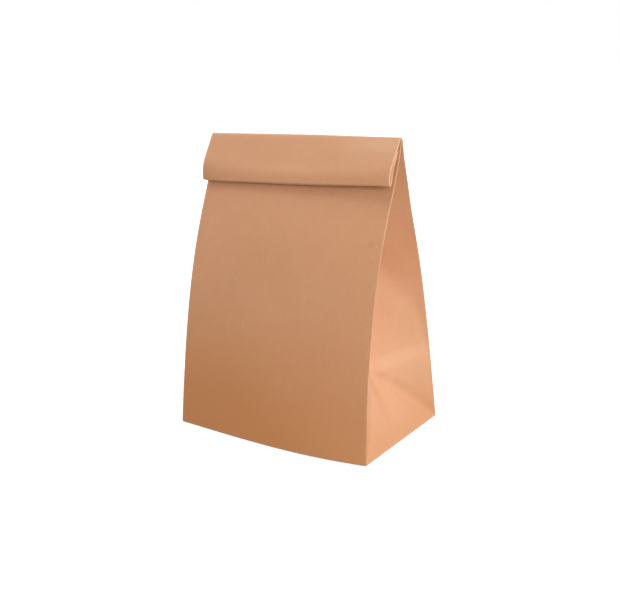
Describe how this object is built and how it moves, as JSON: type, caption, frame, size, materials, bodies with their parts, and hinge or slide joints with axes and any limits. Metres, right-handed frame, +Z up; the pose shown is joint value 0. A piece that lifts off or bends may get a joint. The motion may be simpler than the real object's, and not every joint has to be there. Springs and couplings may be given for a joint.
{
  "type": "paper lunch bag",
  "caption": "Gusseted flat-bottomed kraft paper sack standing upright, its top rolled down in front to close it.",
  "frame": {"origin": "middle of the base, on the surface that the bag stands on", "axes": "+X along the width to the bag's left-to-right as seen from the front, +Y to the back, +Z up; the rolled flap hangs on the -Y side"},
  "size_m": [0.1522, 0.11, 0.2015],
  "materials": {
    "kraft_paper": "matt unbleached kraft, faintly calendered"
  },
  "bodies": {
    "root": {"paper_bag": "kraft_paper"}
  },
  "joints": []
}
